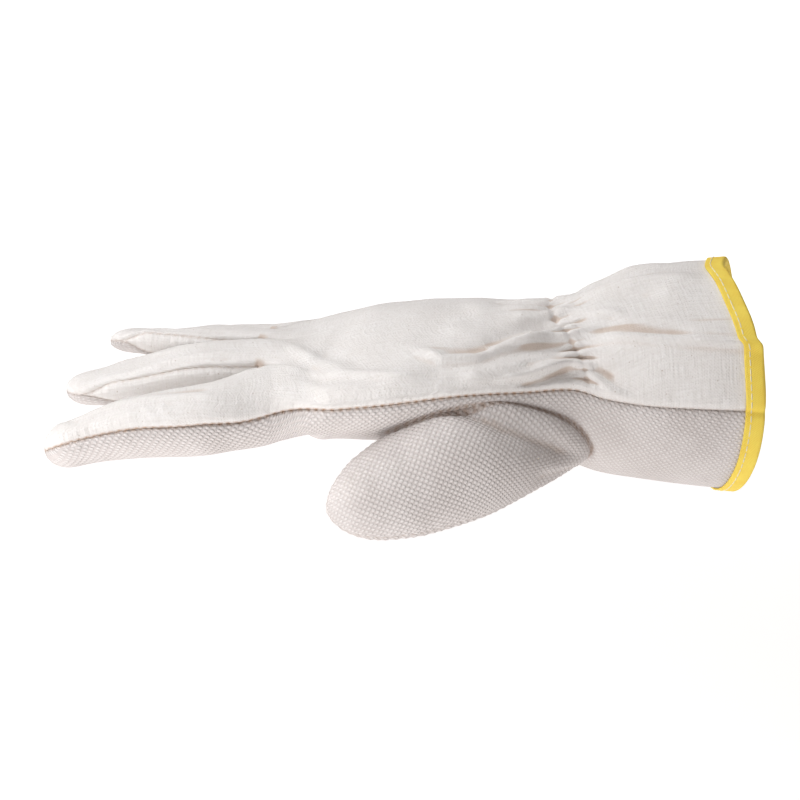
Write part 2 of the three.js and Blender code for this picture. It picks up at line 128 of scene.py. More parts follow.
# Cross-sections of each finger from its root to its tip; roll turns the near side up, in degrees
FINGER_COLUMNS = "x y z half back palm roll"
FINGERS = [
    {  # index
        "root_back": 8, "root_palm": 17, "tip": (-198.5, -45.5, -14.6),
        "sections": [
            (-142, -40.5, -3, 14, 11.5, 14.5, 6),
            (-166, -43, -6.2, 13.6, 11.2, 11.6, 16),
            (-184, -44.5, -10.4, 12.6, 9, 9.2, 20),
        ],
    },
    {  # middle
        "root_back": 8, "root_palm": 13, "tip": (-195, -8, -3),
        "sections": [
            (-146, -9.6, 5.7, 12.6, 8, 11.5, 0),
            (-168, -8.5, 1, 13, 6.4, 8.6, 0),
            (-182, -8.2, -1.6, 12.2, 5.4, 7, 2),
        ],
    },
    {  # ring
        "root_back": 7, "root_palm": 12, "tip": (-181, 21, 6.9),
        "sections": [
            (-142, 17.6, 6.4, 12.2, 6.6, 10.5, 10),
            (-158, 19, 6.6, 12.4, 5.4, 6.4, 15),
            (-169, 20, 6.9, 11.8, 4.9, 5, 17),
        ],
    },
    {  # little
        "root_back": 7.4, "root_palm": 11, "tip": (-160, 50.5, -4.4),
        "sections": [
            (-128, 42.2, -1, 11.9, 6.6, 10, 0),
            (-142, 45.5, -2.2, 12.2, 5.8, 8.5, -4),
            (-151, 48, -3.2, 11.4, 5.2, 6.8, -6),
        ],
    },
]
TIP_SQUARENESS = 2.3
TIP_CROWDING = 1.6
ROOT_SETTLE = 0.3

# Folds of the back, each from one place to another, given by x and by the share of the way across
FOLDS = table(
    "x0 s0 x1 s1 width height",
    (-112, 0.42, -84, 0.2, 4, 1.6),
    (-104, 0.15, -52, 0.16, 6, 1.5),
    (-62, 0.24, -8, 0.3, 5, 2),
    (-48, 0.1, -4, 0.15, 6, 1.8),
    (-44, 0.48, -10, 0.52, 7, 1.4),
    (6, 0.25, 74, 0.18, 7, 2.4),
    (4, 0.32, 70, 0.3, 9, -1.8),
    (8, 0.62, 74, 0.68, 9, 2),
)
ACROSS = 112
FOLD_FADE = 0.22
GATHERS = {"count": 7, "height": 1.4, "reach": 15, "near": 1, "far": -8, "waist": 2.2}
GATHER_FADE = 0.3
PLEATS = {
    "count": 22, "height": 1.45, "reach": 7, "near": 2.5, "far": -10, "groove": 1.0, "groove_width": 1.1,
    "short_at": 0.1, "short_width": 0.12, "short": 0.65,
}
EDGE_FADE = 0.16
SLACK_HEIGHT = 0.22

# Sharper folds than those, each a crest or a hollow along a path of x and the share of the way across
CREASES = [
    crease(2.4, 2.0, (-66, 0.31), (-52, 0.205), (-39, 0.2), (-31, 0.237), (-21, 0.263), (-5, 0.31)),
    crease(3.6, -2.0, (-58, 0.28), (-48, 0.25), (-36, 0.248), (-26, 0.3), (-8, 0.355)),
    crease(5.5, 1.0, (-56, 0.37), (-40, 0.34), (-26, 0.38), (-12, 0.42)),
    crease(2.0, 1.5, (-34, 0.075), (-19, 0.1), (-8, 0.13), (0, 0.155)),
    crease(2.2, -1.5, (-26, 0.035), (-15, 0.06), (-7, 0.095), (-2, 0.115)),
    crease(2.2, -1.0, (-24, 0.14), (-14, 0.16), (-5, 0.19)),
    crease(3.0, 0.5, (-112, 0.12), (-105, 0.25), (-99, 0.36), (-93, 0.5), (-90, 0.6)),
    crease(4.0, -0.5, (-106, 0.12), (-98, 0.3), (-92, 0.42), (-88, 0.5)),
    crease(3.0, 0.5, (-121, 0.3), (-115, 0.37), (-108, 0.5), (-104, 0.62)),
    crease(9.0, 1.1, (-107, -0.2), (-107, 0.05), (-107, 0.2), (-108, 0.4)),
    crease(2.2, 0.9, (-106, 0.27), (-95, 0.23), (-86, 0.209), (-67, 0.153), (-60, 0.14)),
    crease(3.6, -0.6, (-104, 0.205), (-86, 0.17), (-70, 0.12)),
    crease(1.6, 1.7, (-4, 0.236), (12, 0.226), (28, 0.206), (86, 0.165)),
    crease(3.2, -2.2, (-4, 0.275), (10, 0.258), (24, 0.237), (44, 0.215)),
    crease(2.2, 1.8, (-3, 0.135), (4, 0.08), (12, 0.03), (20, 0.0)),
    crease(2.2, -1.1, (-1, 0.175), (6, 0.12), (14, 0.07)),
    crease(2.2, 1.1, (-6, 0.37), (4, 0.345), (18, 0.32)),
    crease(2.4, -1.0, (-4, 0.335), (6, 0.31), (16, 0.29)),
    crease(2.6, 1.5, (-8, 0.52), (10, 0.48), (50, 0.44)),
    crease(3.4, -1.9, (-8, 0.46), (8, 0.42), (34, 0.38)),
    crease(2.8, 1.2, (-6, 0.64), (8, 0.62), (40, 0.58)),
    crease(3.2, -1.5, (-6, 0.58), (8, 0.55), (30, 0.52)),
    crease(2.2, 0.7, (-26, 0.42), (-16, 0.4), (-9, 0.4)),
    crease(2.4, -0.6, (-24, 0.375), (-15, 0.365), (-7, 0.36)),
    crease(2.2, 0.8, (-30, 0.5), (-20, 0.47), (-10, 0.46)),
    crease(2.6, -1.2, (-34, 0.56), (-22, 0.53), (-12, 0.52)),
]
CREASE_FADE = 0.25

# On the palm's side, one broad swelling under the finger roots
PALM_CREASES = [
    crease(8.0, 2.2, (-103, -0.1), (-103, 0.02), (-103, 0.25), (-105, 0.4)),
]

# The same for the fingers' backs: paths of the share of the finger's length and the share of the way across
FINGER_LENGTH = 80
FINGER_ACROSS = 42
FINGER_SLACK = 0.25
FINGER_EDGE_FADE = 0.4
FINGER_END_FADE = 0.1
FINGER_CREASES = [
    [
        crease(1.8, 0.8, (0.12, 0.3), (0.3, 0.33), (0.6, 0.36), (0.9, 0.34)),
        crease(2.6, -0.7, (0.15, 0.42), (0.35, 0.45), (0.6, 0.47)),
        crease(1.2, 0.7, (0.38, 0.06), (0.42, 0.16), (0.44, 0.26)),
        crease(1.2, 0.7, (0.46, 0.05), (0.49, 0.15), (0.52, 0.24)),
        crease(1.2, 0.6, (0.55, 0.06), (0.57, 0.14), (0.6, 0.2)),
        crease(2.0, -0.6, (0.8, 0.2), (0.86, 0.4), (0.88, 0.6)),
    ],
    [
        crease(1.8, 0.9, (0.03, 0.35), (0.3, 0.28), (0.6, 0.24), (0.85, 0.2)),
        crease(2.2, -0.8, (0.05, 0.22), (0.3, 0.18), (0.55, 0.14)),
        crease(1.6, 0.6, (0.2, 0.6), (0.45, 0.55), (0.6, 0.6)),
    ],
    [
        crease(1.8, 0.7, (0.1, 0.4), (0.4, 0.32), (0.8, 0.3)),
        crease(2.2, -0.6, (0.3, 0.55), (0.6, 0.5), (0.75, 0.55)),
    ],
    [
        crease(1.8, 0.6, (0.15, 0.5), (0.5, 0.42), (0.85, 0.45)),
    ],
]

# A seam draws the cloth in, and puckers it between one stitch and the next
SEAM_DIP = 1.1
SEAM_WIDTH = 1.5
PUCKER_HEIGHT = 0.22
PUCKER_REACH = 4.5
STITCH_PITCH = 3.1
PUCKER_DRIFT = 0.31
HOLLOW_ROUNDS = 10

# How dark the painted brown seam shadow is along each seam. The side seams are darkest, and fade to a share
# CUFF_LINE of that past the wrist. Within the reach below of a fork's corners the painted shadow is FORK_LINE
# dark.
SIDE_SEAM_LINE = 1.0
PLAIN_SEAM_LINE = 0.36
THUMB_SEAM_LINE = 0.7
CUFF_LINE = 0.35
CUFF_LINE_FROM = -12
CUFF_LINE_TO = 12
FORK_LINE = 0.85
FORK_SHADOW_REACH = 2.6

# Painted brown shade round each fork: how strong it is, and how far it spreads
FORK_SHADE = 0.8
FORK_SHADE_SPREAD = 3.2

# The canvas's weave, how fine its marks are, its colours, and the painted brown shade in the hollows of both
# cloths
SHEEN = 0.1
WEAVE_PITCH = 0.62
SLUB_LONG = 0.12
SLUB_FINE = 1.3
GRAIN_FINE = 0.75
FLECK_FINE = 1.0
SPECK_FINE = 1.9
CANVAS_CLOUD = 0.05
CANVAS_PALE = (0.795, 0.77, 0.75, 1), (0.835, 0.817, 0.803, 1)
CANVAS_DARK = (0.665, 0.628, 0.6, 1)
# The canvas's painted brown seam shadow, and how far from the seam it reaches
CANVAS_SEAM_SHADOW = (0.42, 0.26, 0.16, 1)
CANVAS_SEAM_REACH = 1.1
CANVAS_RELIEF = 0.00024
HUSK_BROWN = (0.40, 0.31, 0.25, 1)
HOLLOW_SHADE_BROWN = (0.50, 0.36, 0.26, 1)
HOLLOW_FROM = 0.09
HOLLOW_TO = 0.6
HOLLOW_SHADE_TONE = 0.55


def mix(a, b, t):
    """a where t is 0, and b where t is 1."""
    return a + (b - a) * t


def smooth(t):
    """0 below 0, 1 above 1, and a soft curve between."""
    t = np.clip(t, 0, 1)
    return t * t * (3 - 2 * t)


def bump(distance, width):
    """A rounded bump, 1 at its middle."""
    return np.exp(-((distance / width) ** 2))


def unit(v):
    """The same directions, each with a length of 1."""
    return v / np.maximum(np.linalg.norm(v, axis=-1, keepdims=True), 1e-9)


def read(rows, key, at):
    """Every column of a table, read smoothly at the values of its key column."""
    keys = rows[key]
    order = np.arange(len(keys))
    low, high = np.maximum(order - 1, 0), np.minimum(order + 1, len(keys) - 1)
    i = np.searchsorted(keys[1:-1], at)
    span = keys[i + 1] - keys[i]
    t = np.clip((at - keys[i]) / span, 0, 1)
    found = {}
    for name, column in rows.items():
        slope = (column[high] - column[low]) / (keys[high] - keys[low])
        found[name] = (
            (2 * t**3 - 3 * t**2 + 1) * column[i] + (t**3 - 2 * t**2 + t) * slope[i] * span
            + (3 * t**2 - 2 * t**3) * column[i + 1] + (t**3 - t**2) * slope[i + 1] * span
        )
    return found


def place(found):
    """The points that a table's x, y and z columns give."""
    return np.stack([found["x"], found["y"], found["z"]], -1)


def edge_fade(s, fade=EDGE_FADE):
    """1 over the cloth, and 0 at its side seams."""
    return smooth(np.sin(np.pi * s) / fade)


def lift(x, s):
    """How far the folds and the gathers lift the back at x, a share s of the way across."""
    total = np.zeros(np.broadcast(x, s).shape)
    for x0, s0, x1, s1, width, height in zip(*FOLDS.values()):
        run = (x1 - x0, (s1 - s0) * ACROSS)
        here = (x - x0, (s - s0) * ACROSS)
        length = math.hypot(*run)
        share = (here[0] * run[0] + here[1] * run[1]) / length**2
        off = (here[0] * run[1] - here[1] * run[0]) / length
        ends = smooth(share / FOLD_FADE) * smooth((1 - share) / FOLD_FADE)
        total = total + height * ends * bump(off, width)
    line = mix(GATHERS["near"], GATHERS["far"], np.sin(np.pi * s))
    pull = bump(x - line, GATHERS["reach"])
    wave = np.cos(2 * np.pi * GATHERS["count"] * s) * GATHERS["height"]
    total = total + (wave - GATHERS["waist"] * pull) * pull
    return total * edge_fade(s, GATHER_FADE)


def crease_lift(creases, scale, a, b):
    """The height of the creases at places a and b; scale turns them and the paths into millimetres."""
    a, b = a * scale[0], b * scale[1]
    total = np.zeros(np.broadcast(a, b).shape)
    for each in creases:
        path = np.array(each["path"]) * scale
        nearest, run = np.full(total.shape, np.inf), np.zeros(total.shape)
        start = 0
        for first, last in zip(path[:-1], path[1:]):
            way = last - first
            length = math.hypot(*way)
            share = np.clip(((a - first[0]) * way[0] + (b - first[1]) * way[1]) / length**2, 0, 1)
            off = np.hypot(a - first[0] - share * way[0], b - first[1] - share * way[1])
            run = np.where(off < nearest, start + share * length, run)
            nearest = np.minimum(nearest, off)
            start += length
        ends = smooth(run / start / CREASE_FADE) * smooth((1 - run / start) / CREASE_FADE)
        total = total + each["height"] * ends * bump(nearest, each["width"])
    return total


def fine_lift(x, s):
    """The creases, the small pleats that the wrist elastic makes, and the groove of its stitch line."""
    off = x - mix(PLEATS["near"], PLEATS["far"], np.sin(np.pi * s) ** 2)
    wander = 1.3 * np.sin(9.1 * s + 0.7) + 0.8 * np.sin(23.7 * s)
    wave = 2 * np.abs(np.cos(np.pi * PLEATS["count"] * s + wander / 2 + 0.02 * off)) - 1.2
    uneven = np.sin(41 * s + 1)
    shorter = mix(1, PLEATS["short"], bump(s - PLEATS["short_at"], PLEATS["short_width"]))
    reach = PLEATS["reach"] * (1 + 0.45 * uneven + 0.3 * np.sin(17 * s)) * shorter
    pleats = PLEATS["height"] * (0.8 + 0.2 * uneven) * wave * bump(off, reach)
    groove = PLEATS["groove"] * bump(off, PLEATS["groove_width"])
    slack = SLACK_HEIGHT * np.sin(0.21 * x + 9 * s) * np.sin(0.11 * x - 17 * s + 1)
    creases = crease_lift(CREASES, (1, ACROSS), x, s)
    return (pleats - groove + creases + slack) * edge_fade(s)


def strip_half(t):
    """Half the height of a side strip along its finger, from the fork to its pointed end."""
    return STRIP_HALF * (1 - smooth((t - STRIP_TAPER) / (STRIP_END - STRIP_TAPER)))


def root_corner(i, towards):
    """A corner of a finger's root, a little towards its finger from the middle of the fork."""
    corner = np.array([ROOTS[name][i] for name in ("x", "y", "z")])
    if 0 < i < len(ROOTS["x"]) - 1:
        corner = corner + (0, towards * FORK_HALF, -STRIP_HALF)
    return corner


def finger_section(index, t):
    """The finger's cross-section a share t of the way to its tip."""
    finger = FINGERS[index]
    near = root_corner(index, 1)
    across = (root_corner(index + 1, -1) - near) / 2
    root = near + across
    tip = np.array(finger["tip"], float)
    first = (*root, np.linalg.norm(across), finger["root_back"], finger["root_palm"], 0)
    last = (*tip, *finger["sections"][-1][3:])
    rows = table(FINGER_COLUMNS, first, *finger["sections"], last)
    rows["at"] = (root[0] - rows["x"]) / (root[0] - tip[0])
    here = read(rows, "at", t)

    along = unit(tip - root)
    level = unit(np.array([0, 1, 0]) - along * along[1])
    raised = np.cross(level, along)
    roll = np.radians(here["roll"])[..., None]
    turned = level * np.cos(roll) - raised * np.sin(roll)
    settle = smooth(t / ROOT_SETTLE)[..., None]
    lateral = unit(mix(unit(across), turned, settle))
    normal = unit(np.cross(lateral, along))
    normal = unit(mix(np.array([0, 0, 1]), normal, settle))

    blunt = rows["half"][-2] / (root[0] - tip[0])
    rounding = np.sqrt(1 - np.clip((t - 1 + blunt) / blunt, 0, 1) ** TIP_SQUARENESS)
    sizes = {name: here[name] * rounding for name in ("half", "back", "palm")}
    strip = strip_half(t) * rounding
    strips = (strip * (index > 0), strip * (index < len(FINGERS) - 1))
    return {"centre": place(here), "lateral": lateral, "normal": normal, "strips": strips, **sizes}


def finger_point(index, t, s, side):
    """A point on a finger's back (side 1) or palm (side -1), and the finger's centre.

    s is the share of the way across.
    """
    here = finger_section(index, t)
    strip = mix(*here["strips"], s)
    rise = mix(strip, here["back" if side > 0 else "palm"], np.sin(np.pi * s))
    if side > 0:
        slack = FINGER_SLACK * np.sin(15 * t + 5 * s + index) * np.sin(9 * s + 8 * t)
        raised = crease_lift(FINGER_CREASES[index], (FINGER_LENGTH, FINGER_ACROSS), t, s) + slack
        raised = raised * edge_fade(s, FINGER_EDGE_FADE)
        ends = smooth((t - ROOT_LOOK) / FINGER_END_FADE), smooth((1 - t) / FINGER_END_FADE)
        rise = rise + raised * ends[0] * ends[1]
    out = here["lateral"] * (-here["half"] * np.cos(np.pi * s))[..., None]
    return here["centre"] + out + here["normal"] * (side * rise)[..., None], here["centre"]


def hem_x(s, side):
    """The x of the hem, a share s of the way across."""
    middle, sharpness = ("back", "back_sharpness") if side > 0 else ("palm", "palm_sharpness")
    x = mix(HEM[middle], HEM["seam"], np.abs(np.cos(np.pi * s)) ** HEM[sharpness])
    if side > 0:
        off = s - HEM_STEP["s"]
        x = x - HEM_STEP["depth"] * np.tanh(off / HEM_STEP["width"]) * bump(off, HEM_STEP["reach"])
    return x


def hand_point(r, index, share, side):
    """A point of the body or the cuff in line with a finger.

    r runs from the hem to the fingers. It also gives the body's centre and how far the folds lift the point.
    """
    low = np.where(index > 0, FORK_SHARE, 0)
    high = np.where(index < len(FINGERS) - 1, 1 - FORK_SHARE, 1)
    s = (index + mix(low, high, share)) / len(FINGERS)
    end = read(ROOTS, "at", s)["x"]
    x = mix(hem_x(s, side), end, r)
    section = read(HAND, "x", x)
    rise = section["back" if side > 0 else "palm"]
    centre = np.stack([x, section["y"], section["z"]], -1)
    point = centre.copy()
    point[..., 1] -= section["half"] * np.cos(np.pi * s)
    point[..., 2] += side * rise * np.sin(np.pi * s)
    out = np.stack([0 * x, -rise * np.cos(np.pi * s), side * section["half"] * np.sin(np.pi * s)], -1)
    if side > 0:
        raised = lift(x, s) + fine_lift(x, s)
    else:
        raised = crease_lift(PALM_CREASES, (1, ACROSS), x, s) * edge_fade(s)
    target, target_centre = np.zeros(point.shape), np.zeros(point.shape)
    for finger in range(len(FINGERS)):
        chosen = index == finger
        shares = share[chosen]
        first, first_centre = finger_point(finger, np.zeros(shares.shape), shares, side)
        slope = finger_point(finger, np.full(shares.shape, ROOT_LOOK), shares, side)[0] - first
        before = (x - end)[chosen] / slope[..., 0]
        target[chosen], target_centre[chosen] = first + slope * before[..., None], first_centre
    blend = smooth(1 - (x - end) / ROOT_REACH)[..., None]
    raised = raised * smooth((x - end) / ROOT_FADE)
    point = mix(point, target, blend) + unit(out) * raised[..., None]
    return point, mix(centre, target_centre, blend), raised


def run_lengths(points, axis):
    """How far each point of a grid is from the grid's first row or column, along the cloth."""
    steps = np.linalg.norm(np.diff(points, axis=axis), axis=-1)
    start = np.zeros_like(np.take(steps, [0], axis))
    return np.concatenate([start, np.cumsum(steps, axis)], axis)


def grid_normals(points):
    """The normals of a grid of points."""
    return unit(np.cross(np.gradient(points, axis=1), np.gradient(points, axis=0)))


def soften(grid, rounds):
    """A grid of values, each averaged with its neighbours again and again."""
    for _ in range(rounds):
        for axis in (0, 1):
            ends = [(1, 1) if axis == k else (0, 0) for k in range(grid.ndim)]
            wide = np.pad(grid, ends, mode="edge")
            low, high = (np.take(wide, np.arange(grid.shape[axis]) + k, axis) for k in (0, 2))
            grid = (low + 2 * grid + high) / 4
    return grid


def draw_in(patch):
    """Draws a patch in along its seams, puckers it beside them, and notes how deep its hollows are."""
    points, seam = patch["points"], patch["seam"]
    inward = unit(patch["centre"] - points)
    dip = SEAM_DIP * bump(seam, SEAM_WIDTH)
    phase = 2 * np.pi * patch["cloth"][..., 1] / STITCH_PITCH
    beside = bump(seam, PUCKER_REACH) * (1 - bump(seam, SEAM_WIDTH / 2))
    pucker = PUCKER_HEIGHT * beside * np.sin(phase + np.sin(PUCKER_DRIFT * phase))
    patch["points"] = points + inward * (dip - pucker)[..., None]
    if "raised" in patch:
        own = soften(patch["raised"], HOLLOW_ROUNDS) - patch["raised"]
    else:
        own = ((soften(patch["points"], HOLLOW_ROUNDS) - patch["points"]) * -inward).sum(-1)
    wide = soften(own, 3 * HOLLOW_ROUNDS)
    patch["hollow"] = (own - wide) * smooth((seam - SEAM_WIDTH) / SEAM_WIDTH)
    patch.setdefault("line", np.full(seam.shape, PLAIN_SEAM_LINE))
    return patch


def panel_patches(side, columns, rows, finger_rows):
    """A panel as five grids: the body with the cuff, and the four fingers."""
    shares = np.linspace(0, 1, columns + 1)
    index = np.repeat(np.arange(len(FINGERS)), columns + 1)
    share = np.tile(shares, len(FINGERS))
    r, index_grid = np.meshgrid(np.linspace(0, 1, rows + 1), index, indexing="ij")
    share_grid = np.broadcast_to(share, r.shape)
    points, centre, raised = hand_point(r, index_grid, share_grid, side)
    across = run_lengths(points, 1)
    middle = across[:, [2 * (columns + 1)]]
    up = run_lengths(points, 0)
    seam = np.minimum(across, across[:, [-1]] - across)
    fork_off = np.full(seam.shape, np.inf)
    for fork in range(1, len(FINGERS)):
        for column in (fork * (columns + 1) - 1, fork * (columns + 1)):
            fork_off = np.minimum(fork_off, np.linalg.norm(points - points[-1, column], axis=-1))
    fork_near = fork_off < seam
    seam = np.minimum(seam, fork_off)
    cloth = np.stack([across - middle, up], -1)
    # How dark the painted seam shadow is along each edge of the panel
    line = np.where(fork_near, PLAIN_SEAM_LINE, SIDE_SEAM_LINE)
    line = np.where(fork_near & (seam < FORK_SHADOW_REACH), FORK_LINE, line)
    past_wrist = (points[..., 0] - CUFF_LINE_FROM) / (CUFF_LINE_TO - CUFF_LINE_FROM)
    line = line * mix(1, CUFF_LINE, smooth(past_wrist))
    hand = draw_in({
        "points": points, "centre": centre, "cloth": cloth, "seam": seam, "line": line, "raised": raised,
    })
    # Painted shade at the forks: this raises only the hollow value that browns the colour, not the shape.
    hand["hollow"] = hand["hollow"] + FORK_SHADE * bump(fork_off, FORK_SHADE_SPREAD)
    patches = [hand]
    t = 1 - (1 - np.linspace(0, 1, finger_rows + 1)) ** TIP_CROWDING
    for finger in range(len(FINGERS)):
        tt, ss = np.meshgrid(t, shares, indexing="ij")
        points, centre = finger_point(finger, tt, ss, side)
        across = run_lengths(points, 1)
        half = columns // 2
        own_columns = slice(finger * (columns + 1), (finger + 1) * (columns + 1))
        root = cloth[-1, own_columns]
        u = root[half, 0] + across - across[:, [half]]
        v = root[:, 1] + run_lengths(points, 0)[:, [half]]
        seam = np.minimum(across, across[:, [-1]] - across)
        outer = (finger == 0) & (ss < 0.5) | (finger == len(FINGERS) - 1) & (ss > 0.5)
        line = np.where(outer, SIDE_SEAM_LINE, PLAIN_SEAM_LINE)
        cloth_here = np.stack([u, v], -1)
        own = draw_in({"points": points, "centre": centre, "cloth": cloth_here, "seam": seam, "line": line})
        own["points"][0] = hand["points"][-1, own_columns]
        patches.append(own)
    return patches


def cloth_mesh(name, patches, wall, keep=None):
    """One mesh of cloth: the grids welded where they meet, given the cloth's thickness inwards."""
    def whole(name):
        return np.concatenate([patch[name].reshape(patch["seam"].size, -1) for patch in patches])

    faces, start = [], 0
    for patch in patches:
        rows, columns = patch["points"].shape[:2]
        number = start + np.arange(rows * columns).reshape(rows, columns)
        corners = (number[:-1, :-1], number[:-1, 1:], number[1:, 1:], number[1:, :-1])
        faces.append(np.stack([c.ravel() for c in corners], -1))
        start += rows * columns
    faces = np.concatenate(faces)
    points, cloth, centres = (whole(part) for part in ("points", "cloth", "centre"))
    marks = {mark: whole(mark).ravel() for mark in ("seam", "line", "hollow")}
    _, first, same = np.unique(np.round(points, 3), axis=0, return_index=True, return_inverse=True)
    faces = same.ravel()[faces]
    points, cloth, centres = points[first], cloth[first], centres[first]
    if keep is not None:
        faces = faces[keep(points)[faces].any(1)]
    corners = points[faces]
    facing = np.cross(corners[:, 2] - corners[:, 0], corners[:, 3] - corners[:, 1])
    if (facing * (corners.mean(1) - centres[faces].mean(1))).sum() < 0:
        faces = faces[:, ::-1]
    used, faces = np.unique(faces, return_inverse=True)
    faces = faces.reshape(-1, 4)
    polygons = []
    for face in faces.tolist():
        ring = [v for k, v in enumerate(face) if v != face[k - 1]]
        if len(set(ring)) == len(ring) > 2:
            polygons.append(ring)
    mesh = bpy.data.meshes.new(name)
    mesh.from_pydata((points[used] * MM).tolist(), [], polygons)
    mesh.attributes.new("cloth", "FLOAT_VECTOR", "POINT").data.foreach_set(
        "vector", np.column_stack([cloth[used], np.zeros(len(used))]).ravel()
    )
    for mark, values in marks.items():
        mesh.attributes.new(mark, "FLOAT", "POINT").data.foreach_set("value", values[first][used])
    mesh.polygons.foreach_set("use_smooth", [True] * len(mesh.polygons))
    mesh.update()
    made = set_out(name, mesh)
    thickness = made.modifiers.new("thickness", "SOLIDIFY")
    thickness.thickness = wall * MM
    thickness.offset = -1
    return made


def apply_modifiers(piece):
    """Turns a piece's modifiers into plain mesh."""
    bpy.context.view_layer.update()
    graph = bpy.context.evaluated_depsgraph_get()
    finished = bpy.data.meshes.new_from_object(piece.evaluated_get(graph))
    piece.modifiers.clear()
    piece.data = finished


class Shade:
    """A socket of a material. Sums on it add Math nodes."""

    def __init__(self, tree, socket=None):
        self.tree = tree
        self.socket = socket

    def node(self, kind, settings=None, values=None, output=0):
        """Adds a node: its type, its settings, and the values or links of its sockets."""
        made = self.tree.nodes.new(kind)
        for name, value in (settings or {}).items():
            if name == "stops":
                ramp = made.color_ramp
                while len(ramp.elements) < len(value):
                    ramp.elements.new(0.5)
                for stop, (at, colour) in zip(ramp.elements, value):
                    stop.position = at
                    stop.color = (*colour, 1)
            else:
                setattr(made, name, value)
        for name, value in (values or {}).items():
            if isinstance(value, Shade):
                self.tree.links.new(value.socket, made.inputs[name])
            else:
                made.inputs[name].default_value = value
        return Shade(self.tree, made.outputs[output])

    def math(self, operation, first, second=0.0):
        return self.node("ShaderNodeMath", {"operation": operation}, {0: first, 1: second})

    def __add__(self, other):
        return self.math("ADD", self, other)

    def __sub__(self, other):
        return self.math("SUBTRACT", self, other)

    def __rsub__(self, other):
        return self.math("SUBTRACT", other, self)

    def __mul__(self, other):
        return self.math("MULTIPLY", self, other)

    def __truediv__(self, other):
        return self.math("DIVIDE", self, other)

    def __pow__(self, other):
        return self.math("POWER", self, other)

    __radd__ = __add__
    __rmul__ = __mul__

    def floor(self):
        return self.math("FLOOR", self)

    def fraction(self):
        return self.math("FRACT", self)

    def sine(self):
        return self.math("SINE", self)

    def held(self):
        """The value, kept between 0 and 1."""
        return self.node("ShaderNodeClamp", {}, {"Value": self})

    def step(self, low, high):
        """0 below low, 1 above high, and smooth between."""
        limits = {"Value": self, "From Min": low, "From Max": high}
        return self.node("ShaderNodeMapRange", {"interpolation_type": "SMOOTHSTEP"}, limits)

    def blend(self, first, second):
        """The first colour where this is 0, the second where it is 1."""
        values = {"Factor": self, 6: first, 7: second}
        return self.node("ShaderNodeMix", {"data_type": "RGBA"}, values, 2)

    def noise(self, where, scale, detail=2.0, roughness=0.5):
        values = {"Vector": where, "Scale": scale, "Detail": detail, "Roughness": roughness}
        return self.node("ShaderNodeTexNoise", {}, values)

    def attribute(self, name, output):
        return self.node("ShaderNodeAttribute", {"attribute_name": name}, {}, output)

    def vector(self, x, y, z=0.0):
        return self.node("ShaderNodeCombineXYZ", {}, {"X": x, "Y": y, "Z": z})


def new_finish(name, roughness):
    """A new material, its nodes and its main shader."""
    made = bpy.data.materials.new(name)
    made.use_nodes = True
    shader = made.node_tree.nodes["Principled BSDF"]
    shader.inputs["Roughness"].default_value = roughness
    return made, Shade(made.node_tree), shader


def finish_with(shade, shader, colour, height, depth):
    """Links a colour, and a height whose step of 1 is depth metres of relief, to the shader."""
    shade.tree.links.new(colour.socket, shader.inputs["Base Color"])
    relief = shade.node("ShaderNodeBump", {}, {"Height": height, "Distance": depth, "Strength": 1.0})
    shade.tree.links.new(relief.socket, shader.inputs["Normal"])


def cloth_directions(shade):
    """Where a point is on its cloth, in millimetres: across, along, and both as a vector."""
    where = shade.attribute("cloth", "Vector")
    parts = [shade.node("ShaderNodeSeparateXYZ", {}, {"Vector": where}, axis) for axis in ("X", "Y")]
    return (*parts, where)


def with_seam_and_hollow_shade(shade, along, colour, brown, reach):
    """A cloth's colour with painted shade: a warm brown in its hollows, and a painted brown shadow along its
    seams.
    """
    # Painted shade: the deeper the hollow, the more the colour turns to a warm brown.
    hollow = shade.attribute("hollow", "Fac").step(HOLLOW_FROM, HOLLOW_TO) * HOLLOW_SHADE_TONE
    shaded = hollow.blend(colour, HOLLOW_SHADE_BROWN)
    # Painted seam shadow: brown along each seam, dotted at the stitch pitch where the cloth puckers, ragged
    # with noise, and as dark as the seam's line value.
    stitch = (along * (2 * math.pi / STITCH_PITCH)).sine() * 0.3 + 0.7
    ragged = shade.noise(shade.attribute("cloth", "Vector"), 0.9, 2.0).step(0.3, 0.6) * 0.4 + 0.6
    close = 1 - shade.attribute("seam", "Fac").step(0.0, reach)
    return (close * stitch * ragged * shade.attribute("line", "Fac")).blend(shaded, brown)


def canvas_finish():
    """Plain-woven cotton: threads over and under, slubs, dark flecks of seed husk, and brown seam shadows."""
    made, shade, shader = new_finish("canvas", 0.92)
    across, along, where = cloth_directions(shade)
    weave = (across * (math.pi / WEAVE_PITCH)).sine() * (along * (math.pi / WEAVE_PITCH)).sine()
    slub_across = shade.noise(shade.vector(across * SLUB_LONG, along * SLUB_FINE), 1.0, 1.0)
    slub_along = shade.noise(shade.vector(across * SLUB_FINE, along * SLUB_LONG), 1.0, 1.0)
    slub = slub_across + slub_along - 1.0
    grain = shade.noise(where, GRAIN_FINE, 2.0, 0.6) - 0.5
    cloud = shade.noise(where, CANVAS_CLOUD, 3.0, 0.6)
    fleck = shade.noise(where, FLECK_FINE, 0.0).step(0.79, 0.84)
    speck = shade.noise(where, SPECK_FINE, 0.0).step(0.77, 0.83)
    pale = cloud.step(0.3, 0.7).blend(*CANVAS_PALE)
    threads = (weave * 0.03 + slub * 0.7 + grain * 0.5 + 0.62).held()
    toned = threads.blend(CANVAS_DARK, pale)
    flecked = (fleck * 0.5 + speck * 0.2).held().blend(toned, HUSK_BROWN)
    colour = with_seam_and_hollow_shade(shade, along, flecked, CANVAS_SEAM_SHADOW, CANVAS_SEAM_REACH)
    finish_with(shade, shader, colour, weave * 0.12 + slub * 0.9 + grain * 0.8, CANVAS_RELIEF)
    shader.inputs["Sheen Weight"].default_value = SHEEN
    return made


